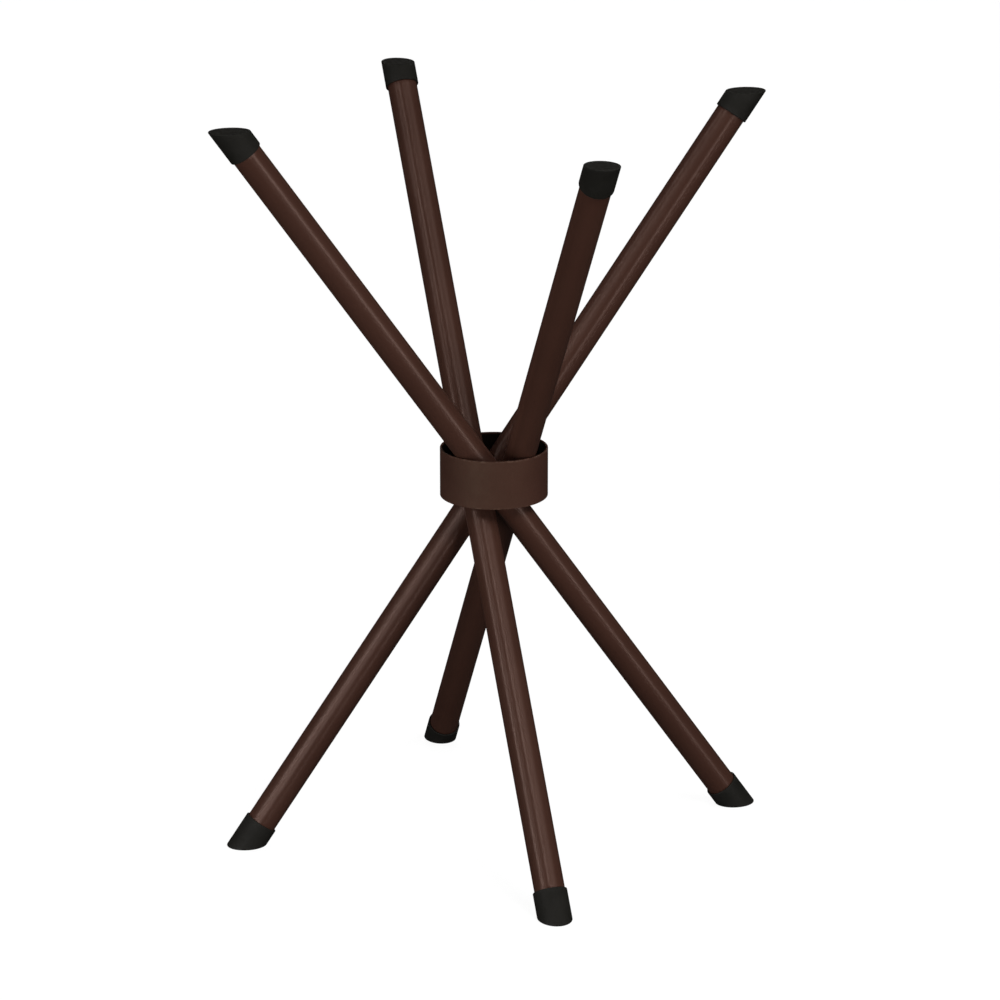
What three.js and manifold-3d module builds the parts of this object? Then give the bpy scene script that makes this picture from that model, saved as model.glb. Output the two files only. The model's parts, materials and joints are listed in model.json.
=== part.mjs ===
// Table base: four straight round tubes that cross at a waist inside a ring, with an
// angled cap on each end. Millimetres, +Z up. The origin is on the floor, under the ring's centre.
import * as THREE from "three";
import { mergeVertices } from "three/addons/utils/BufferGeometryUtils.js";
import loadManifold from "manifold-3d";

const manifold = await loadManifold();
manifold.setup();

// Whole base
const OVERALL_HEIGHT = 738;
const WAIST_HEIGHT = 360; // level at which the tubes' axes pass closest to the middle
const WAIST_RADIUS = 19; // from the middle to each tube's axis at the waist
const TUBE_LEAN = THREE.MathUtils.degToRad(35.3); // each tube's angle from upright

// Tubes
const TUBE_RADIUS = 15;
const TUBE_WALL = 1.5;

// Ring
const RING_RADIUS = 53.6;
const RING_WALL = 2;
const RING_BOTTOM = 350.4;
const RING_HEIGHT = 49;

// Caps: a sleeve over the tube's end, closed by a sloping floor that lies level in use.
// Lengths along the cap are from that face's middle, measured along the tube.
const CAP_WALL = 1.5;
const CAP_LENGTH = 27.5;
const CAP_LEDGE_DEPTH = 13; // where the tube's end sits
const CAP_FLOOR = 3;
const CAP_HOLLOW_RADIUS = 11; // inside the ledge

// Welds
const CROSSING_WELD_RADIUS = 3.5;
const CROSSING_WELD_STANDOFF = 2.2; // of its centreline, outside the pressed patch
const CROSSING_WELD_SPAN = [-8, 18]; // below and above the crossing's middle
const CROSSING_WELD_BEND = 5; // how softly it turns round the patch's corner
const RING_WELD_SIZE = new THREE.Vector3(4, 9, 5); // half sizes: radial, around, upright
const RING_WELD_INSET = 2; // of its middle, from the ring's inner wall
const RING_WELD_DROP = 6.2; // of its middle, below the rim

// Where two pieces touch they stay this far apart.
const GAP = 0.3;

// Smoothness
const TUBE_SIDES = 40;
const RING_SIDES = 72;
const WELD_SIDES = 10;
const WELD_STEPS = 8;

const OVERSHOOT = 5; // how far a cutter runs past what it cuts
const CUTTER_SIZE = 120;
const UP = new THREE.Vector3(0, 0, 1);
const RIGHT_ANGLE = Math.PI / 2;

// Each leg is called after the side that its upper end leans to. Its foot is on the other side.
const SIDES = ["front", "right", "back", "left"];

const tubePaint = new THREE.MeshStandardMaterial({ color: 0x4a2b22, roughness: 0.32, metalness: 0.1 });
const ringPaint = new THREE.MeshStandardMaterial({ color: 0x432f27, roughness: 0.6, metalness: 0.0 });
const weldPaint = new THREE.MeshStandardMaterial({ color: 0x452a22, roughness: 0.5, metalness: 0.1 });
const capPlastic = new THREE.MeshStandardMaterial({ color: 0x20201e, roughness: 0.75, metalness: 0.0 });

// ---- Solids ----

function toSolid(geometry) {
  const bare = geometry.clone();
  bare.deleteAttribute("normal");
  bare.deleteAttribute("uv");
  const merged = mergeVertices(bare);
  const triVerts = new Uint32Array(merged.index.array);
  const vertProperties = merged.attributes.position.array;
  return new manifold.Manifold(new manifold.Mesh({ numProp: 3, vertProperties, triVerts }));
}

function toGeometry(body) {
  const { vertProperties, triVerts } = body.getMesh();
  const geometry = new THREE.BufferGeometry();
  geometry.setAttribute("position", new THREE.BufferAttribute(vertProperties, 3));
  geometry.setIndex(new THREE.BufferAttribute(triVerts, 1));
  geometry.computeVertexNormals();
  return geometry;
}

// A round bar along the local Z axis, put in place by the matrix.
function bar(radius, from, to, placement = new THREE.Matrix4()) {
  const geometry = new THREE.CylinderGeometry(radius, radius, to - from, TUBE_SIDES);
  geometry.rotateX(RIGHT_ANGLE).translate(0, 0, (from + to) / 2);
  return toSolid(geometry.applyMatrix4(placement));
}

// Everything near the local origin on the far side of a plane.
function beyond(normal, distance) {
  const geometry = new THREE.BoxGeometry(CUTTER_SIZE, CUTTER_SIZE, CUTTER_SIZE);
  geometry.translate(0, 0, distance + CUTTER_SIZE / 2);
  return toSolid(geometry.applyQuaternion(new THREE.Quaternion().setFromUnitVectors(UP, normal)));
}

// ---- Where the legs are ----

// Places a leg's frame in the waist's frame: origin on the tube's axis at the waist, +Z up the
// tube, +X away from the middle. Leg 0 leans its upper end to the front, -Y.
function legPlacement(quarterTurns) {
  const turn = new THREE.Matrix4().makeRotationZ(quarterTurns * RIGHT_ANGLE);
  const out = new THREE.Matrix4().makeTranslation(WAIST_RADIUS, 0, 0);
  const lean = new THREE.Matrix4().makeRotationX(TUBE_LEAN);
  return turn.multiply(out).multiply(lean);
}

// The frame of the leg that many quarter turns on, seen from leg 0's own frame.
function neighbourPlacement(quarterTurns) {
  return legPlacement(0).invert().multiply(legPlacement(quarterTurns));
}

const topFaceAlongTube = (OVERALL_HEIGHT - WAIST_HEIGHT) / Math.cos(TUBE_LEAN);
const footFaceAlongTube = -WAIST_HEIGHT / Math.cos(TUBE_LEAN);

// ---- Tubes ----

// A bar along a leg with a flat-bottomed dish where each neighbour is pressed into it. The depth
// is 0 for the tube's outside, and the wall's thickness for its bore.
function pressedBar(radius, from, to, depth) {
  let pressed = bar(radius, from, to);
  for (const quarterTurns of [1, -1]) {
    const placement = neighbourPlacement(quarterTurns);
    const start = new THREE.Vector3().setFromMatrixPosition(placement);
    const along = new THREE.Vector3().setFromMatrixColumn(placement, 2);
    const normal = new THREE.Vector3().crossVectors(UP, along).normalize();
    if (normal.dot(start) < 0) normal.negate();
    const halfWay = normal.dot(start) / 2;
    const neighbour = bar(TUBE_RADIUS + GAP + depth, -CUTTER_SIZE, CUTTER_SIZE, placement);
    pressed = pressed.subtract(neighbour.intersect(beyond(normal, halfWay - GAP / 2 - depth)));
  }
  return pressed;
}

function tubeGeometry() {
  const from = footFaceAlongTube + CAP_LEDGE_DEPTH;
  const to = topFaceAlongTube - CAP_LEDGE_DEPTH;
  const outside = pressedBar(TUBE_RADIUS, from, to, 0);
  const bore = pressedBar(TUBE_RADIUS - TUBE_WALL, from - OVERSHOOT, to + OVERSHOOT, TUBE_WALL);
  return toGeometry(outside.subtract(bore));
}

// ---- Caps ----

// Frame: origin in the middle of the sloping face, +Z out of the tube's end.
function capGeometry() {
  const faceNormal = new THREE.Vector3(0, Math.sin(TUBE_LEAN), Math.cos(TUBE_LEAN));
  const longSide = (TUBE_RADIUS + CAP_WALL + GAP) * Math.tan(TUBE_LEAN) + OVERSHOOT;
  const body = bar(TUBE_RADIUS + GAP + CAP_WALL, -CAP_LENGTH, longSide);
  const socket = bar(TUBE_RADIUS + GAP, -CAP_LENGTH - OVERSHOOT, GAP - CAP_LEDGE_DEPTH);
  const hollow = bar(CAP_HOLLOW_RADIUS, -CAP_LEDGE_DEPTH, longSide);
  const shell = body.subtract(beyond(faceNormal, 0)).subtract(socket);
  return toGeometry(shell.subtract(hollow.subtract(beyond(faceNormal, -CAP_FLOOR))));
}

// ---- Ring ----

function ringGeometry() {
  const inner = RING_RADIUS - RING_WALL;
  const section = [
    [inner, 0], [RING_RADIUS, 0], [RING_RADIUS, RING_HEIGHT], [inner, RING_HEIGHT], [inner, 0],
  ].map(([radius, height]) => new THREE.Vector2(radius, height));
  return new THREE.LatheGeometry(section, RING_SIDES).rotateX(RIGHT_ANGLE);
}

// ---- Welds, in the waist's frame ----

function tubeClearance(quarterTurns) {
  return bar(TUBE_RADIUS + GAP, -CUTTER_SIZE, CUTTER_SIZE, legPlacement(quarterTurns));
}

// A bead in the groove between legs 0 and 1, round the outer corner of their pressed patch.
function crossingWeldGeometry() {
  const lean = { sin: Math.sin(TUBE_LEAN), cos: Math.cos(TUBE_LEAN) };
  const outward = new THREE.Vector3(1, 1, 0).normalize();
  const along = new THREE.Vector3(lean.sin, -lean.sin, 2 * lean.cos).normalize();
  const middle = (WAIST_RADIUS * (1 + lean.sin ** 2 / (1 + lean.cos ** 2))) / Math.SQRT2;
  const halfApart = (WAIST_RADIUS * lean.cos) / Math.sqrt(1 + lean.cos ** 2);
  const patchHalfWidth = Math.sqrt(TUBE_RADIUS ** 2 - halfApart ** 2);
  const halfAngle = Math.acos(Math.sqrt((1 + lean.cos ** 2) / 2));
  const corner = middle + (patchHalfWidth + CROSSING_WELD_STANDOFF) / Math.cos(halfAngle);

  const [low, high] = CROSSING_WELD_SPAN;
  const points = [];
  for (let step = 0; step <= WELD_STEPS; step += 1) {
    const height = low + ((high - low) * step) / WELD_STEPS;
    const turnedIn = Math.hypot(height, CROSSING_WELD_BEND) - CROSSING_WELD_BEND;
    const radius = corner - turnedIn * Math.tan(halfAngle);
    points.push(outward.clone().multiplyScalar(radius).addScaledVector(along, height));
  }
  const section = new THREE.Shape().absarc(0, 0, CROSSING_WELD_RADIUS, 0, 2 * Math.PI);
  const bead = new THREE.ExtrudeGeometry(section, {
    steps: WELD_STEPS,
    curveSegments: WELD_SIDES,
    bevelEnabled: false,
    extrudePath: new THREE.CatmullRomCurve3(points),
  });
  return toGeometry(toSolid(bead).subtract(tubeClearance(0)).subtract(tubeClearance(1)));
}

// The direction in which leg 0 comes closest to the ring at a height above the waist.
function nearestRingAngle(height) {
  const halfLength = TUBE_RADIUS / Math.cos(TUBE_LEAN);
  let best = { radius: 0, angle: 0 };
  for (let degrees = 0; degrees < 360; degrees += 1) {
    const around = THREE.MathUtils.degToRad(degrees);
    const x = WAIST_RADIUS + TUBE_RADIUS * Math.cos(around);
    const y = halfLength * Math.sin(around) - height * Math.tan(TUBE_LEAN);
    if (Math.hypot(x, y) > best.radius) best = { radius: Math.hypot(x, y), angle: Math.atan2(y, x) };
  }
  return best.angle;
}

// A blob that fills the wedge between leg 0 and the ring's inner wall, just under the rim.
function ringWeldGeometry() {
  const innerRadius = RING_RADIUS - RING_WALL;
  const height = RING_BOTTOM + RING_HEIGHT - WAIST_HEIGHT - RING_WELD_DROP;
  const blob = new THREE.SphereGeometry(1, 2 * WELD_SIDES, WELD_SIDES);
  blob.rotateX(RIGHT_ANGLE).scale(RING_WELD_SIZE.x, RING_WELD_SIZE.y, RING_WELD_SIZE.z);
  blob.translate(innerRadius - RING_WELD_INSET, 0, height).rotateZ(nearestRingAngle(height));
  const ringHole = new THREE.CylinderGeometry(
    innerRadius - GAP, innerRadius - GAP, CUTTER_SIZE, RING_SIDES,
  ).rotateX(RIGHT_ANGLE);
  return toGeometry(toSolid(blob).intersect(toSolid(ringHole)).subtract(tubeClearance(0)));
}

// ---- Assembly ----

function addMesh(parent, name, geometry, material) {
  const mesh = new THREE.Mesh(geometry, material);
  mesh.name = name;
  parent.add(mesh);
  return mesh;
}

const tableBase = new THREE.Group();
const ring = addMesh(tableBase, "centre_ring", ringGeometry(), ringPaint);
ring.position.z = RING_BOTTOM;

const tube = tubeGeometry();
const cap = capGeometry();
const crossingWeld = crossingWeldGeometry();
const ringWeld = ringWeldGeometry();

SIDES.forEach((side, quarterTurns) => {
  const opposite = SIDES[(quarterTurns + 2) % SIDES.length];
  const next = SIDES[(quarterTurns + 1) % SIDES.length];

  const quarter = new THREE.Group();
  quarter.position.z = WAIST_HEIGHT;
  quarter.rotation.z = quarterTurns * RIGHT_ANGLE;
  tableBase.add(quarter);
  addMesh(quarter, `crossing_weld_${side}_${next}`, crossingWeld, weldPaint);
  addMesh(quarter, `ring_weld_${side}`, ringWeld, weldPaint);

  const leg = new THREE.Group();
  leg.position.x = WAIST_RADIUS;
  leg.rotation.x = TUBE_LEAN;
  quarter.add(leg);
  addMesh(leg, `leg_tube_${side}`, tube, tubePaint);
  addMesh(leg, `top_cap_${side}`, cap, capPlastic).position.z = topFaceAlongTube;

  const footCap = addMesh(leg, `foot_cap_${opposite}`, cap, capPlastic);
  footCap.position.z = footFaceAlongTube;
  footCap.rotation.x = Math.PI;
});

export default tableBase;
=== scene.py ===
import json
import math

import bpy
import numpy as np
from mathutils import Matrix, Vector


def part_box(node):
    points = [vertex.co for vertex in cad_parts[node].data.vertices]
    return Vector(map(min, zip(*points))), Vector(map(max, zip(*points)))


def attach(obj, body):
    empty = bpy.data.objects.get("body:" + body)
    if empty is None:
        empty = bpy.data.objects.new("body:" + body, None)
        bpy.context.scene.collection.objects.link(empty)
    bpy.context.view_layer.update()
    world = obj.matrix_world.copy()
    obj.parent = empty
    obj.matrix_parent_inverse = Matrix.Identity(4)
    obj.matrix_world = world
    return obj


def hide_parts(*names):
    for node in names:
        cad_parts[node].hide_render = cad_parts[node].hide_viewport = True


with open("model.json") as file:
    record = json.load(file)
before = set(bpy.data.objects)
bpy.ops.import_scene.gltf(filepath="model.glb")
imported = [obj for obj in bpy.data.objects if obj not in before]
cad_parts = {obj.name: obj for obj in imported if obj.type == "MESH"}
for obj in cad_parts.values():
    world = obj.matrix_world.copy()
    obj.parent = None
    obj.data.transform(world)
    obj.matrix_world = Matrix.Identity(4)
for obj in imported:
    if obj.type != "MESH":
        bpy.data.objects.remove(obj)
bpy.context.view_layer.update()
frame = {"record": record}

MM = 0.001
SIDES = ("front", "right", "back", "left")  # the side that a leg's upper end leans to

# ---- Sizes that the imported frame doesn't state, as in the CAD model ----

TUBE_WALL = 1.5 * MM
TOUCH_GAP = 0.3 * MM  # what the CAD model leaves between touching pieces
CAP_WALL = 1.5 * MM
CAP_LENGTH = 27.5 * MM  # along the tube, from the mouth to the middle of the level face
CAP_LEDGE_DEPTH = 13 * MM
CAP_FLOOR = 3 * MM
CAP_HOLLOW_RADIUS = 11 * MM
RING_WALL = 2 * MM
CROSSING_WELD_RADIUS = 3.3 * MM
CROSSING_WELD_STANDOFF = 2.2 * MM
CROSSING_WELD_SPAN = (-8 * MM, 18 * MM)
CROSSING_WELD_BEND = 5 * MM
RING_WELD_SIZE = (3.8 * MM, 8.6 * MM, 4.7 * MM)  # half sizes: towards the ring, round it and up
RING_WELD_INSET = 2 * MM
WELD_CLEARANCE = 0.05 * MM

# ---- Fine shape ----

DISH_ROUNDING = 1.6 * MM  # how softly a pressed dish turns into the round tube
CAP_FACE_FILLET = 0.9 * MM
CAP_MOUTH_FILLET = 0.5 * MM
CAP_SOCKET_BEVEL = 0.25 * MM
RING_FILLET = 0.45 * MM
RIPPLE_PITCH = 1.9 * MM
RIPPLE_DEPTH = 0.22 * MM
RIPPLE_BOW = 0.5 * MM
RIPPLE_MEAN = 0.75  # about a crescent's mean height, so that ripples don't swell a bead

TUBE_COLUMNS = 160
TUBE_FINE_REACH = 34 * MM  # each way from the waist, past both dishes
TUBE_FINE_ROWS = 84
TUBE_PLAIN_ROWS = 24
CAP_COLUMNS = 160
CAP_FACE_STEPS = (0, 0.35, 0.7, 0.93)  # of the way from the face's middle to its rim
CAP_WALL_STEPS = (0.02, 0.25, 0.5, 0.75, 0.97)  # of the way from the rim to the lip
RING_COLUMNS = 288
RING_WALL_STEPS = np.linspace(0.03, 0.97, 7)[:, None]
WELD_COLUMNS = 48
CROSSING_WELD_ROWS = 90
RING_WELD_ROWS = 64
PUSHES = 12  # passes that move a weld's points clear of the tubes

# ---- Camera and light ----

CAMERA_TURN = math.radians(-17.45)  # where it stands, seen from the object, from -Y towards +X
CAMERA_DISTANCE = 3.814
CAMERA_RISE = 1.1575  # above the waist
CAMERA_AIM_LEFT = math.radians(-0.09)
CAMERA_PITCH = math.radians(17.1)
CAMERA_LENS = 144.5
CAMERA_SENSOR = 36

# Each lamp's first two numbers are degrees from the camera's side of the object towards its right, and
# degrees above the horizon. The last is the light that it brings to the waist.
# Softboxes stand near and only light the surfaces.
SOFTBOX_DISTANCE = 1.9
SOFTBOX_SIZE = 0.5
SOFTBOXES = {
    "key_softbox": (30, 40, 1.20),
    "low_softbox": (45, -12, 0.70),
    "side_softbox": (-30, 0, 0.80),
}
# The others are far off, and their third number is how many degrees across they look. Glows only light the
# surfaces. Gleams and sheens only show as reflections.
GLOWS = {
    "glow_right_high": (60, 52, 28, 0.90),
    "glow_left_low": (-75, -12, 28, 0.70),
    "glow_behind": (180, 40, 28, 0.90),
    "glow_behind_left": (-120, 40, 28, 0.35),
    "glow_behind_low": (165, 5, 28, 0.50),
}
GLEAMS = {
    "gleam_right": (55, -1, 10, 0.06),
    "gleam_front": (23, -3.5, 8, 0.05),
    "gleam_overhead": (3, 47.5, 7, 0.07),
    "gleam_left_low": (-44, 20.5, 7, 0.08),
    "gleam_left_high": (-60, 23.5, 7, 0.07),
    "gleam_far_left": (-82, 36.5, 7, 0.03),
    "gleam_high_left": (-42.5, 43, 7, 0.05),
    "gleam_behind_right": (150, 32, 9, 0.06),
    "gleam_behind_left": (-150, 32, 9, 0.06),
    "sheen_left": (-30, 0, 28, 0.48),
    "sheen_left_high": (-45, 15, 28, 0.03),
    "sheen_right": (45, 15, 28, 0.21),
    "sheen_right_high": (30, 40, 28, 0.03),
    "sheen_far_right_high": (60, 40, 28, 0.04),
    "sheen_ceiling": (38, 50, 45, 0.07),
}
SKY_LIGHT = 0.15
SKY_GLEAM = 0.01
FAR_LAMP_DISTANCE = 3  # only its direction counts
FLOOR_REACH = 60
FLOOR_DROP = 0.2 * MM
FLOOR_GLOW = 0.93
FLOOR_GREY = 0.12

mounts = {m["name"]: Vector(m["pos_m"]) for m in frame["record"]["mounts"]}


def opposite(side):
    return SIDES[(SIDES.index(side) + 2) % len(SIDES)]


def following(side):
    return SIDES[(SIDES.index(side) + 1) % len(SIDES)]


def leg_matrix(side):
    """A leg's frame: its origin where the axis is nearest to the middle, Z up the tube, X straight out."""
    foot, top = mounts["foot_rest_" + opposite(side)], mounts["top_rest_" + side]
    along = (top - foot).normalized()
    flat = Vector((along.x, along.y, 0))
    waist = foot - along * (foot.dot(flat) / flat.length_squared)
    out = Vector((waist.x, waist.y, 0)).normalized()
    matrix = Matrix((out, along.cross(out), along)).transposed().to_4x4()
    matrix.translation = waist
    return matrix


LEGS = {side: leg_matrix(side) for side in SIDES}
tube_low, tube_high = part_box("leg_tube_front")
TUBE_RADIUS = (tube_high.x - tube_low.x) / 2
LEAN = LEGS["front"].to_3x3().col[2].angle(Vector((0, 0, 1)))
WAIST = LEGS["front"].translation.z
TOP_REACH = (mounts["top_rest_front"] - LEGS["front"].translation).length
FOOT_REACH = (mounts["foot_rest_back"] - LEGS["front"].translation).length


# ---- Mesh building ----


def placed(points, matrix):
    """Points of any grid shape, through a 4x4 matrix."""
    m = np.array(matrix)
    return points @ m[:3, :3].T + m[:3, 3]


def skin(name, grid, poles=False, marks=None):
    """A closed smooth mesh over grid[row, column]. Columns go all the way round. Rows do too, unless poles
    is set: then the first and last row are each one point. marks are named values, one for each point."""
    rows, columns = grid.shape[:2]
    middle = slice(1, rows - 1) if poles else slice(0, rows)
    vertices = grid[middle].reshape(-1, 3)
    ring_rows = len(vertices) // columns
    faces = []
    for r in range(ring_rows if not poles else ring_rows - 1):
        a, b = r * columns, (r + 1) % ring_rows * columns
        for c in range(columns):
            d = (c + 1) % columns
            faces.append((a + c, a + d, b + d, b + c))
    if poles:
        first, last = len(vertices), len(vertices) + 1
        vertices = np.vstack([vertices, grid[0, 0], grid[-1, 0]])
        end = (ring_rows - 1) * columns
        for c in range(columns):
            d = (c + 1) % columns
            faces.append((first, d, c))
            faces.append((last, end + c, end + d))
    mesh = bpy.data.meshes.new(name)
    mesh.from_pydata([tuple(v) for v in vertices], [], faces)
    mesh.shade_smooth()
    for mark, values in (marks or {}).items():
        flat = values[middle].reshape(-1)
        if poles:
            flat = np.concatenate([flat, [values[0, 0], values[-1, 0]]])
        attribute = mesh.attributes.new(mark, "FLOAT", "POINT")
        attribute.data.foreach_set("value", flat.astype(np.float32))
    if signed_volume(vertices, faces) < 0:
        mesh.flip_normals()
    mesh.validate()
    return mesh


def signed_volume(vertices, faces):
    """Above 0 where the faces point outwards."""
    total = 0.0
    for corners in (3, 4):
        kind = np.array([f for f in faces if len(f) == corners], int).reshape(-1, corners)
        for i in range(1, corners - 1):
            a, b, c = (vertices[kind[:, j]] for j in (0, i, i + 1))
            total += np.einsum("ij,ij->", a, np.cross(b, c))
    return total


def add_piece(name, mesh, node, material):
    piece = bpy.data.objects.new(name, mesh)
    bpy.context.scene.collection.objects.link(piece)
    mesh.materials.append(material)
    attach(piece, "root")
    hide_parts(node)


def turns(columns):
    return np.linspace(0, 2 * np.pi, columns, endpoint=False)


def soft_min(a, b, width):
    overlap = np.maximum(width - np.abs(a - b), 0) / width
    return np.minimum(a, b) - overlap**2 * width / 4


def soft_max(a, b, width):
    return -soft_min(-a, -b, width)


def arc(centre, radius, start, end, steps):
    """Points on an arc, as (steps, 2) in a section's own plane."""
    angles = np.linspace(start, end, steps)
    return np.stack([centre[0] + radius * np.cos(angles), centre[1] + radius * np.sin(angles)], -1)


# ---- Tubes ----


def pressed_radius(side, around, along, radius, depth):
    """How far from a tube's axis its surface is, with a dish where each neighbour is pressed into it.
    depth is 0 for the outside and the wall's thickness for the bore."""
    found = np.full(np.broadcast(around, along).shape, radius)
    ray = np.stack([np.cos(around), np.sin(around), np.zeros_like(around)], -1)
    for neighbour in (following(side), following(opposite(side))):
        local = LEGS[side].inverted() @ LEGS[neighbour]
        start, axis = np.array(local.translation), np.array(local.to_3x3().col[2])
        normal = np.cross((0, 0, 1), axis)
        normal /= np.linalg.norm(normal)
        half_way = normal @ start / 2
        if half_way < 0:
            normal, half_way = -normal, -half_way
        facing = np.maximum(ray @ normal, 1e-4)
        flat = (half_way - TOUCH_GAP / 2 - depth) / facing
        nothing = np.zeros_like(found)
        origin = np.stack([nothing, nothing, along + nothing], -1) - start
        origin -= (origin @ axis)[..., None] * axis
        level = ray - (ray @ axis)[..., None] * axis
        a = (level**2).sum(-1)
        b = (origin * level).sum(-1)
        c = (origin**2).sum(-1) - (TUBE_RADIUS + TOUCH_GAP + depth) ** 2
        inside = b * b - a * c
        enter = np.where((inside > 0) & (b < 0), (-b - np.sqrt(np.maximum(inside, 0))) / a, 1.0)
        dish = soft_max(flat, enter, DISH_ROUNDING)
        found = soft_min(found, dish, DISH_ROUNDING)
    return found


def tube_mesh(side):
    low, high = -(FOOT_REACH - CAP_LEDGE_DEPTH), TOP_REACH - CAP_LEDGE_DEPTH
    heights = np.concatenate([
        np.linspace(low, -TUBE_FINE_REACH, TUBE_PLAIN_ROWS, endpoint=False),
        np.linspace(-TUBE_FINE_REACH, TUBE_FINE_REACH, TUBE_FINE_ROWS, endpoint=False),
        np.linspace(TUBE_FINE_REACH, high, TUBE_PLAIN_ROWS),
    ])
    around = turns(TUBE_COLUMNS)[None, :]
    outside, bore = (TUBE_RADIUS, 0, heights), (TUBE_RADIUS - TUBE_WALL, TUBE_WALL, heights[::-1])
    grids = []
    for radius, depth, rows in (outside, bore):
        along = rows[:, None] + np.zeros_like(around)
        turned = around + np.zeros_like(along)
        out = pressed_radius(side, turned, along, radius, depth)
        grids.append(np.stack([out * np.cos(turned), out * np.sin(turned), along], -1))
    return skin("leg_tube_" + side, placed(np.concatenate(grids), LEGS[side]))


# ---- Caps ----


def cap_grid():
    """One cap, with the origin in the middle of its sloping face and Z out of the tube's end, and how worn
    each point can be, up to 1 on the rim of the face."""
    radius, socket = TUBE_RADIUS + TOUCH_GAP + CAP_WALL, TUBE_RADIUS + TOUCH_GAP
    ledge, mouth = TOUCH_GAP - CAP_LEDGE_DEPTH, -CAP_LENGTH
    columns, edges = [], []
    for turn in turns(CAP_COLUMNS):
        slope = -math.tan(LEAN) * math.sin(turn)
        lean = math.hypot(1, slope)
        r = radius - CAP_FACE_FILLET
        centre = (r, slope * r - CAP_FACE_FILLET * lean)
        rim = arc(centre, CAP_FACE_FILLET, math.atan2(1, -slope), 0, 8)
        start = rim[0, 0]
        beside_rim = start - 0.1 * MM
        face = np.array([[x, slope * x] for x in (*(start * step for step in CAP_FACE_STEPS), beside_rim)])
        lip_centre = (radius - CAP_MOUTH_FILLET, mouth + CAP_MOUTH_FILLET)
        lip = arc(lip_centre, CAP_MOUTH_FILLET, 0, -math.pi / 2, 5)
        wall_top, wall_end = rim[-1, 1], lip[0, 1]
        wall = np.array([[radius, wall_top + (wall_end - wall_top) * step] for step in CAP_WALL_STEPS])
        roof = -CAP_FLOOR / math.cos(LEAN)
        inside = np.array([
            [socket + CAP_SOCKET_BEVEL, mouth],
            [socket, mouth + CAP_SOCKET_BEVEL],
            [socket, (mouth + ledge) / 2],
            [socket, ledge],
            [CAP_HOLLOW_RADIUS, ledge],
            [CAP_HOLLOW_RADIUS, roof + slope * CAP_HOLLOW_RADIUS],
            [CAP_HOLLOW_RADIUS / 2, roof + slope * CAP_HOLLOW_RADIUS / 2],
            [0, roof],
        ])
        columns.append(np.vstack([face, rim, wall, lip, inside]))
        face_wear, rim_wear = [0, 0, 0, 0, 0.4], np.full(len(rim), 1.0)
        wall_wear, lip_wear = [0.4, 0, 0, 0, 0.3], np.full(len(lip), 0.8)
        edges.append(np.concatenate([face_wear, rim_wear, wall_wear, lip_wear, np.zeros(len(inside))]))
    section = np.array(columns).transpose(1, 0, 2)
    turn = turns(CAP_COLUMNS)[None, :]
    grid = np.stack([section[..., 0] * np.cos(turn), section[..., 0] * np.sin(turn), section[..., 1]], -1)
    return grid, np.array(edges).T


# ---- Ring ----


def ring_mesh():
    low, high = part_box("centre_ring")
    outer = (high.x - low.x) / 2
    inner, fillet = outer - RING_WALL, RING_FILLET
    quarter = math.pi / 2
    bottom, top = low.z + fillet, high.z - fillet
    climb = (top - bottom) * RING_WALL_STEPS
    stretches = [
        ("edge", arc((outer - fillet, bottom), fillet, -quarter, 0, 6)),
        ("outward", np.hstack([np.full_like(climb, outer), bottom + climb])),
        ("edge", arc((outer - fillet, top), fillet, 0, quarter, 6)),
        ("edge", arc((inner + fillet, top), fillet, quarter, 2 * quarter, 6)),
        ("inward", np.hstack([np.full_like(climb, inner), top - climb])),
        ("edge", arc((inner + fillet, bottom), fillet, 2 * quarter, 3 * quarter, 6)),
    ]
    section = np.vstack([points for _, points in stretches])
    edge, inward = (
        np.concatenate([np.full(len(points), float(kind == wanted)) for kind, points in stretches])
        for wanted in ("edge", "inward")
    )
    turn = turns(RING_COLUMNS)[None, :]
    radius, height = section[:, :1], section[:, 1:] + np.zeros_like(turn)
    grid = np.stack([radius * np.cos(turn), radius * np.sin(turn), height], -1)
    marks = {"edge": edge[:, None] + np.zeros_like(turn), "inward": inward[:, None] + np.zeros_like(turn)}
    return skin("centre_ring", grid, marks=marks)


# ---- Welds ----


def pushed_clear(points, sides, ring_inner=None):
    """Points moved out of the tubes of those legs, and inside the ring's inner wall."""
    for _ in range(PUSHES):
        for side in sides:
            origin, axis = np.array(LEGS[side].translation), np.array(LEGS[side].to_3x3().col[2])
            offset = points - origin
            along = (offset @ axis)[..., None] * axis
            across = offset - along
            distance = np.linalg.norm(across, axis=-1, keepdims=True)
            wanted = np.maximum(distance, TUBE_RADIUS + WELD_CLEARANCE)
            points = origin + along + across * wanted / np.maximum(distance, 1e-9)
        if ring_inner:
            flat = np.linalg.norm(points[..., :2], axis=-1, keepdims=True)
            scale = np.minimum(flat, ring_inner - WELD_CLEARANCE) / np.maximum(flat, 1e-9)
            points = np.concatenate([points[..., :2] * scale, points[..., 2:]], -1)
    return points


def ripple(distance, turn):
    """The overlapping crescents of a weld bead: steep on one side, each bowed round the bead."""
    phase = (distance + RIPPLE_BOW * np.cos(turn)) / RIPPLE_PITCH
    saw = phase - np.floor(phase)
    return RIPPLE_DEPTH * (np.sqrt(np.maximum(1 - saw**2, 0)) - RIPPLE_MEAN)


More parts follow.
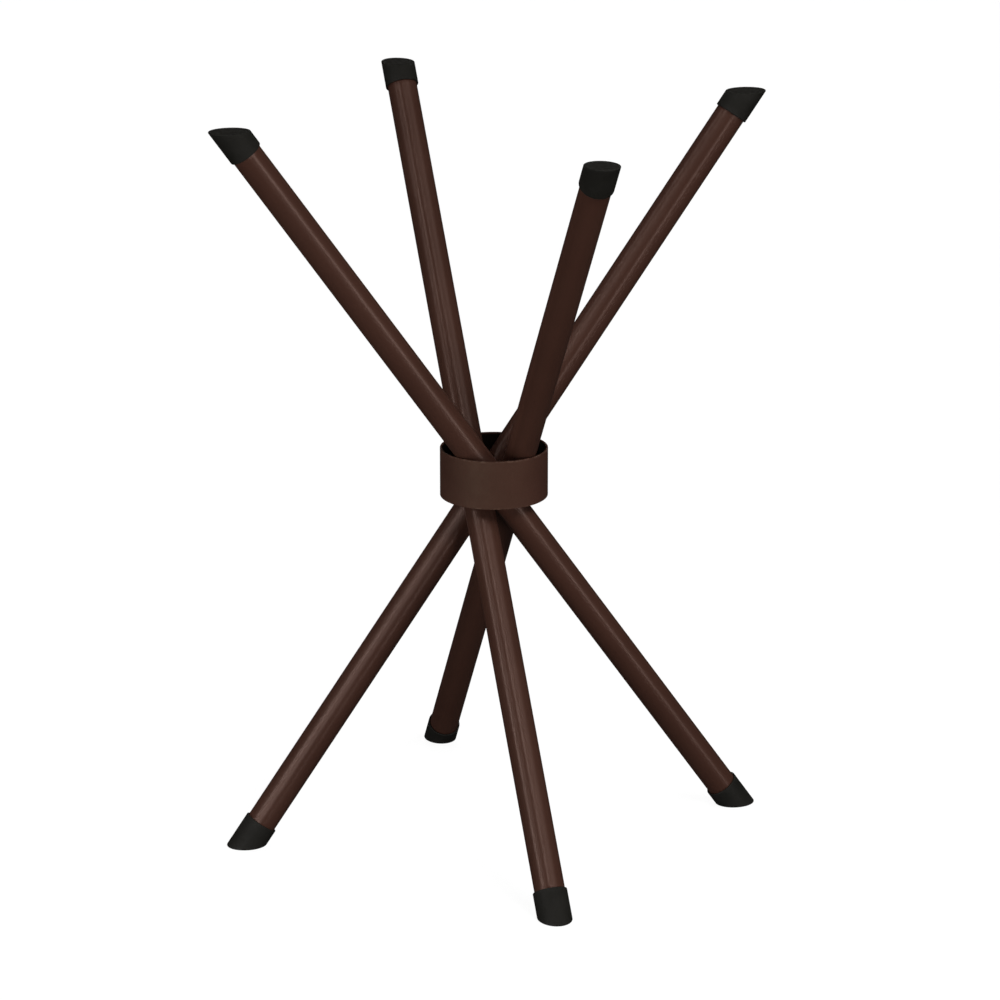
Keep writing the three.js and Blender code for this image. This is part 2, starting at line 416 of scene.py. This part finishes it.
def crossing_weld_mesh(side):
    """A bead in the groove between a leg and the next one, round the outer corner of their dishes."""
    leg, next_leg = LEGS[side], LEGS[following(side)]
    axis, next_axis = leg.to_3x3().col[2], next_leg.to_3x3().col[2]
    along = (axis + next_axis).normalized()
    out = leg.translation + next_leg.translation
    out = Vector((out.x, out.y, 0)).normalized()
    half_angle = axis.angle(next_axis) / 2
    between = axis.cross(next_axis).normalized()
    half_apart = abs((next_leg.translation - leg.translation).dot(between)) / 2
    aside = math.sin(LEAN) ** 2 / (1 + math.cos(LEAN) ** 2)
    middle = leg.translation.xy.length * (1 + aside) / math.sqrt(2)  # out to where the two axes are closest
    patch = math.sqrt(TUBE_RADIUS**2 - half_apart**2)
    corner = middle + (patch + CROSSING_WELD_STANDOFF) / math.cos(half_angle)
    height = np.linspace(*CROSSING_WELD_SPAN, CROSSING_WELD_ROWS)
    turned_in = np.hypot(height, CROSSING_WELD_BEND) - CROSSING_WELD_BEND
    radius = corner - turned_in * math.tan(half_angle)
    out, along, between = np.array(out), np.array(along), np.array(between)
    line = np.array([0, 0, WAIST]) + radius[:, None] * out + height[:, None] * along
    tangent = np.gradient(line, axis=0)
    step = np.linalg.norm(tangent, axis=1, keepdims=True)
    tangent /= step
    travelled = np.cumsum(step[:, 0])
    travelled -= travelled[0]
    outward = np.cross(between, tangent)
    outward *= np.sign((outward @ out))[:, None]
    ends = np.minimum(travelled, travelled[-1] - travelled)
    dome = np.sqrt(np.clip(1 - (1 - np.minimum(ends / CROSSING_WELD_RADIUS, 1)) ** 2, 0, 1))
    turn = turns(WELD_COLUMNS)[None, :]
    size = (CROSSING_WELD_RADIUS + ripple(travelled[:, None], turn)) * dome[:, None]
    grid = line[:, None] + size[..., None] * (
        np.cos(turn)[..., None] * outward[:, None] + np.sin(turn)[..., None] * between
    )
    grid = pushed_clear(grid, (side, following(side)))
    return skin(f"crossing_weld_{side}_{following(side)}", grid, poles=True)


def ring_weld_mesh(side):
    """A short bead in the wedge between a leg and the ring's inner wall, just under the rim."""
    low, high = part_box("ring_weld_" + side)
    ring_low, ring_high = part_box("centre_ring")
    inner = (ring_high.x - ring_low.x) / 2 - RING_WALL
    mid = (low + high) / 2
    angle = math.atan2(mid.y, mid.x)
    radial = np.array([math.cos(angle), math.sin(angle), 0])
    around = np.array([-math.sin(angle), math.cos(angle), 0])
    up = np.array([0, 0, 1])
    centre = radial * (inner - RING_WELD_INSET) + up * mid.z
    half_depth, half_length, half_height = RING_WELD_SIZE
    travel = -np.cos(np.linspace(0, np.pi, RING_WELD_ROWS))[:, None]
    turn = turns(WELD_COLUMNS)[None, :]
    girth = np.sqrt(np.maximum(1 - travel**2, 0)) * (1 + ripple(travel * half_length, turn) / half_height)
    grid = (
        centre
        + (travel * half_length + 0 * turn)[..., None] * around
        + (girth * np.cos(turn) * half_depth)[..., None] * radial
        + (girth * np.sin(turn) * half_height)[..., None] * up
    )
    grid = pushed_clear(grid, (side,), inner)
    return skin("ring_weld_" + side, grid, poles=True)


# ---- Materials ----

# Colours are linear. A pair is the darkest and the lightest of a coat's soft clouds.
TUBE_BROWN = (0.0488, 0.0204, 0.0138), (0.0549, 0.0234, 0.0159)
TUBE_GRAIN = (0.0636, 0.0279, 0.0194)
RING_BROWN = (0.0445, 0.0165, 0.0117), (0.0497, 0.0188, 0.0135)
RING_GRAIN = (0.059, 0.0243, 0.0184)
# Lighter worn paint for the ring's edges, made bright enough to also be a painted highlight along the rim.
RING_WORN_AND_HIGHLIGHT = (0.104, 0.056, 0.042)
# Painted shade: near black for the ring's inner wall, where shade falls.
RING_INSIDE_SHADE = (0.0015, 0.001, 0.001)
WELD_BROWN = (0.044, 0.0190, 0.0135), (0.064, 0.0285, 0.0200)
CAP_BLACK = (0.0109, 0.0102, 0.0083), (0.0134, 0.0124, 0.0105)
CAP_WORN = (0.030, 0.029, 0.027)
CAP_DUST = (0.033, 0.032, 0.028)
GLOSS_TINT = (1, 0.72, 0.63)
RING_TINT = (1, 0.86, 0.6)

# The stretch of a noise's values that is spread over the whole of what it drives.
CLOUDY = (0.35, 0.65)
GRAINY = (0.3, 0.7)


class Surface:
    """A Principled material whose colour, roughness and bump are built from procedural nodes."""

    def __init__(self, name, specular=1.0, tint=(1, 1, 1)):
        self.material = bpy.data.materials.new(name)
        self.material.use_nodes = True
        self.nodes, self.links = self.material.node_tree.nodes, self.material.node_tree.links
        self.shader = self.nodes["Principled BSDF"]
        self.shader.inputs["Specular IOR Level"].default_value = specular
        self.shader.inputs["Specular Tint"].default_value = (*tint, 1)
        self.place = self.nodes.new("ShaderNodeTexCoord").outputs["Object"]
        self.normal = None

    def link(self, value, socket):
        if isinstance(value, bpy.types.NodeSocket):
            self.links.new(value, socket)
        else:
            socket.default_value = value

    def noise(self, size, detail, roughness=0.5):
        """Noise with features about that many metres across."""
        node = self.nodes.new("ShaderNodeTexNoise")
        node.inputs["Scale"].default_value = 1 / size
        node.inputs["Detail"].default_value = detail
        node.inputs["Roughness"].default_value = roughness
        self.links.new(self.place, node.inputs["Vector"])
        return node.outputs["Fac"]

    def cells(self, size):
        node = self.nodes.new("ShaderNodeTexVoronoi")
        node.feature = "SMOOTH_F1"
        node.inputs["Scale"].default_value = 1 / size
        self.links.new(self.place, node.inputs["Vector"])
        return node.outputs["Distance"]

    def mark(self, name):
        node = self.nodes.new("ShaderNodeAttribute")
        node.attribute_name = name
        return node.outputs["Fac"]

    def span(self, value, low, high, to_low=0.0, to_high=1.0):
        node = self.nodes.new("ShaderNodeMapRange")
        node.interpolation_type = "SMOOTHSTEP"
        self.links.new(value, node.inputs["Value"])
        for key, number in (("From Min", low), ("From Max", high), ("To Min", to_low), ("To Max", to_high)):
            node.inputs[key].default_value = number
        return node.outputs["Result"]

    def maths(self, operation, a, b):
        node = self.nodes.new("ShaderNodeMath")
        node.operation = operation
        self.link(a, node.inputs[0])
        self.link(b, node.inputs[1])
        return node.outputs["Value"]

    def mix(self, amount, a, b):
        """Colour a turning into colour b as amount goes from 0 to 1."""
        node = self.nodes.new("ShaderNodeMix")
        node.data_type = "RGBA"
        factor, first, second = node.inputs[0], node.inputs[6], node.inputs[7]
        self.link(amount, factor)
        for colour, socket in ((a, first), (b, second)):
            self.link(colour if isinstance(colour, bpy.types.NodeSocket) else (*colour, 1), socket)
        return node.outputs[2]

    def bump(self, height, depth):
        node = self.nodes.new("ShaderNodeBump")
        node.inputs["Strength"].default_value = 1.0
        node.inputs["Distance"].default_value = depth
        self.links.new(height, node.inputs["Height"])
        if self.normal:
            self.links.new(self.normal, node.inputs["Normal"])
        self.normal = node.outputs["Normal"]

    def finish(self, colour, roughness):
        self.links.new(colour, self.shader.inputs["Base Color"])
        self.links.new(roughness, self.shader.inputs["Roughness"])
        if self.normal:
            self.links.new(self.normal, self.shader.inputs["Normal"])
        return self.material


def tube_paint():
    """Semi-gloss powder coat: a faint orange peel, a fine grain and cloudy changes in its gloss."""
    s = Surface("tube_paint", tint=GLOSS_TINT)
    clouds = s.span(s.noise(90 * MM, 3), *CLOUDY)
    colour = s.mix(clouds, *TUBE_BROWN)
    grain = s.span(s.noise(0.9 * MM, 2), *GRAINY)
    colour = s.mix(s.maths("MULTIPLY", grain, 0.3), colour, TUBE_GRAIN)
    roughness = s.span(s.noise(60 * MM, 2), *CLOUDY, 0.28, 0.31)
    s.bump(s.noise(2.6 * MM, 1.5), 0.006 * MM)
    s.bump(s.noise(0.55 * MM, 1), 0.0006 * MM)
    return s.finish(colour, roughness)


def ring_paint():
    """Matt powder coat with a finer, drier grain, worn along its edges, where the lighter wear is also a
    painted highlight on the rim, and painted shade that leaves it dark and dull inside.
    """
    s = Surface("ring_paint", specular=0.74, tint=RING_TINT)
    clouds = s.span(s.noise(30 * MM, 3), *CLOUDY)
    colour = s.mix(clouds, *RING_BROWN)
    grain = s.span(s.noise(0.7 * MM, 2), *GRAINY)
    colour = s.mix(s.maths("MULTIPLY", grain, 0.35), colour, RING_GRAIN)
    # Wear on the edges; its lighter colour is also a painted highlight on the rim.
    worn_and_highlit = s.maths("MULTIPLY", s.mark("edge"), s.span(s.noise(6 * MM, 5, 0.65), 0.46, 0.62))
    colour = s.mix(s.maths("MULTIPLY", worn_and_highlit, 0.7), colour, RING_WORN_AND_HIGHLIGHT)
    # Painted shade on the ring's inner wall.
    colour = s.mix(s.mark("inward"), colour, RING_INSIDE_SHADE)
    roughness = s.span(s.noise(12 * MM, 4), *CLOUDY, 0.60, 0.70)
    roughness = s.maths("SUBTRACT", roughness, s.maths("MULTIPLY", worn_and_highlit, 0.18))
    s.bump(s.noise(1.1 * MM, 2), 0.02 * MM)
    s.bump(s.noise(0.35 * MM, 1), 0.006 * MM)
    return s.finish(colour, roughness)


def weld_paint():
    """The same coat over weld metal: satin, a little uneven, with small pits and spatter."""
    s = Surface("weld_paint", tint=GLOSS_TINT)
    clouds = s.span(s.noise(5 * MM, 4), *CLOUDY)
    colour = s.mix(clouds, *WELD_BROWN)
    roughness = s.span(s.noise(3 * MM, 4), *CLOUDY, 0.42, 0.58)
    s.bump(s.noise(1.6 * MM, 4, 0.6), 0.10 * MM)
    s.bump(s.cells(1.2 * MM), 0.03 * MM)
    return s.finish(colour, roughness)


def cap_plastic(scuffed):
    """Matt black moulded plastic with a fine spark-eroded texture, greyed a little along its edges.
    A scuffed one, for the feet, is more worn and more dusty."""
    s = Surface("cap_plastic_feet" if scuffed else "cap_plastic", specular=0.3)
    clouds = s.span(s.noise(18 * MM, 4), *CLOUDY)
    colour = s.mix(clouds, *CAP_BLACK)
    worn = s.maths("MULTIPLY", s.mark("edge"), s.span(s.noise(2.2 * MM, 5, 0.7), 0.44, 0.66))
    colour = s.mix(s.maths("MULTIPLY", worn, 0.5 if scuffed else 0.3), colour, CAP_WORN)
    dust = s.span(s.noise(1.3 * MM, 4, 0.7), 0.58, 0.76)
    colour = s.mix(s.maths("MULTIPLY", dust, 0.22 if scuffed else 0.08), colour, CAP_DUST)
    roughness = s.span(s.noise(9 * MM, 4), *CLOUDY, 0.58, 0.70)
    roughness = s.maths("SUBTRACT", roughness, s.maths("MULTIPLY", worn, 0.12))
    s.bump(s.cells(0.8 * MM), 0.035 * MM)
    s.bump(s.noise(0.4 * MM, 2), 0.012 * MM)
    return s.finish(colour, roughness)


# ---- The object ----

paint = tube_paint()
weld = weld_paint()
plastic = {"top": cap_plastic(scuffed=False), "foot": cap_plastic(scuffed=True)}
# where a cap sits in a leg's frame
cap_places = {
    "top": Matrix.Translation((0, 0, TOP_REACH)),
    "foot": Matrix.Translation((0, 0, -FOOT_REACH)) @ Matrix.Rotation(math.pi, 4, "X"),
}

add_piece("ring_shell", ring_mesh(), "centre_ring", ring_paint())
cap_points, cap_edges = cap_grid()
for side in SIDES:
    add_piece(f"tube_{side}", tube_mesh(side), f"leg_tube_{side}", paint)
    for end, stands in (("top", side), ("foot", opposite(side))):
        grid = placed(cap_points, LEGS[side] @ cap_places[end])
        mesh = skin(f"{end}_cap_{stands}", grid, poles=True, marks={"edge": cap_edges})
        add_piece(f"cap_{end}_{stands}", mesh, f"{end}_cap_{stands}", plastic[end])
    pair, bead = f"{side}_{following(side)}", crossing_weld_mesh(side)
    add_piece(f"bead_crossing_{pair}", bead, f"crossing_weld_{pair}", weld)
    add_piece(f"bead_ring_{side}", ring_weld_mesh(side), f"ring_weld_{side}", weld)

# ---- Floor, light and camera ----


def floor_material():
    """A pale, evenly lit table that shows only faint soft shadows, and is seen only from above."""
    material = bpy.data.materials.new("studio_floor")
    material.use_nodes = True
    nodes, links = material.node_tree.nodes, material.node_tree.links
    nodes.clear()
    glow = nodes.new("ShaderNodeEmission")
    glow.inputs["Color"].default_value = (1, 1, 1, 1)
    glow.inputs["Strength"].default_value = FLOOR_GLOW
    matt = nodes.new("ShaderNodeBsdfDiffuse")
    matt.inputs["Color"].default_value = (FLOOR_GREY, FLOOR_GREY, FLOOR_GREY, 1)
    above = nodes.new("ShaderNodeAddShader")
    links.new(glow.outputs[0], above.inputs[0])
    links.new(matt.outputs[0], above.inputs[1])
    below = nodes.new("ShaderNodeBsdfTransparent")
    sided = nodes.new("ShaderNodeMixShader")
    links.new(nodes.new("ShaderNodeNewGeometry").outputs["Backfacing"], sided.inputs[0])
    links.new(above.outputs[0], sided.inputs[1])
    links.new(below.outputs[0], sided.inputs[2])
    links.new(sided.outputs[0], nodes.new("ShaderNodeOutputMaterial").inputs["Surface"])
    return material


def add_floor():
    corners = [(x * FLOOR_REACH, y * FLOOR_REACH, 0) for x, y in ((-1, -1), (1, -1), (1, 1), (-1, 1))]
    mesh = bpy.data.meshes.new("studio_floor")
    mesh.from_pydata(corners, [], [(0, 1, 2, 3)])
    mesh.materials.append(floor_material())
    floor = bpy.data.objects.new("studio_floor", mesh)
    bpy.context.scene.collection.objects.link(floor)
    floor.location.z = -FLOOR_DROP
    floor.visible_glossy = False
    floor.visible_diffuse = False
    floor.visible_shadow = False


def lamp_direction(turn, height):
    a, e = math.radians(turn) + CAMERA_TURN, math.radians(height)
    return Vector((math.sin(a) * math.cos(e), -math.cos(a) * math.cos(e), math.sin(e)))


def add_lamp(data, place, facing_back):
    lamp = bpy.data.objects.new(data.name, data)
    bpy.context.scene.collection.objects.link(lamp)
    lamp.location = place
    lamp.rotation_mode = "QUATERNION"
    lamp.rotation_quaternion = facing_back.to_track_quat("Z", "Y")
    lamp.visible_camera = False
    return lamp


def add_softbox(name, turn, height, light):
    data = bpy.data.lights.new(name, "AREA")
    data.shape, data.size, data.energy = "DISK", SOFTBOX_SIZE, light * math.pi * SOFTBOX_DISTANCE**2
    towards = lamp_direction(turn, height)
    add_lamp(data, towards * SOFTBOX_DISTANCE + Vector((0, 0, WAIST)), towards).visible_glossy = False


def add_far_lamp(name, turn, height, across, light):
    data = bpy.data.lights.new(name, "SUN")
    data.angle, data.energy = math.radians(across), light
    towards = lamp_direction(turn, height)
    return add_lamp(data, towards * FAR_LAMP_DISTANCE, towards)


def add_world():
    """Faint even light, a dim room in reflections, and white where the camera sees past the floor."""
    world = bpy.data.worlds.new("studio")
    bpy.context.scene.world = world
    world.use_nodes = True
    nodes, links = world.node_tree.nodes, world.node_tree.links
    nodes.clear()
    path = nodes.new("ShaderNodeLightPath")
    layers = []
    for strength in (SKY_LIGHT, SKY_GLEAM, 1.0):
        layer = nodes.new("ShaderNodeBackground")
        layer.inputs["Color"].default_value = (1, 1, 1, 1)
        layer.inputs["Strength"].default_value = strength
        layers.append(layer.outputs[0])
    seen = layers[0]
    for layer, when in zip(layers[1:], ("Is Glossy Ray", "Is Camera Ray")):
        mix = nodes.new("ShaderNodeMixShader")
        links.new(path.outputs[when], mix.inputs[0])
        links.new(seen, mix.inputs[1])
        links.new(layer, mix.inputs[2])
        seen = mix.outputs[0]
    links.new(seen, nodes.new("ShaderNodeOutputWorld").inputs["Surface"])


def add_camera():
    data = bpy.data.cameras.new("camera")
    data.sensor_width, data.lens = CAMERA_SENSOR, CAMERA_LENS
    data.clip_start, data.clip_end = 0.05, 200
    camera = bpy.data.objects.new("camera", data)
    bpy.context.scene.collection.objects.link(camera)
    camera.location = (
        CAMERA_DISTANCE * math.sin(CAMERA_TURN),
        -CAMERA_DISTANCE * math.cos(CAMERA_TURN),
        WAIST + CAMERA_RISE,
    )
    camera.rotation_euler = (math.pi / 2 - CAMERA_PITCH, 0, CAMERA_TURN + CAMERA_AIM_LEFT)
    bpy.context.scene.camera = camera


add_floor()
for name, softbox in SOFTBOXES.items():
    add_softbox(name, *softbox)
for name, glow in GLOWS.items():
    add_far_lamp(name, *glow).visible_glossy = False
for name, gleam in GLEAMS.items():
    add_far_lamp(name, *gleam).visible_diffuse = False
add_world()
add_camera()
bpy.context.scene.view_settings.view_transform = "Standard"
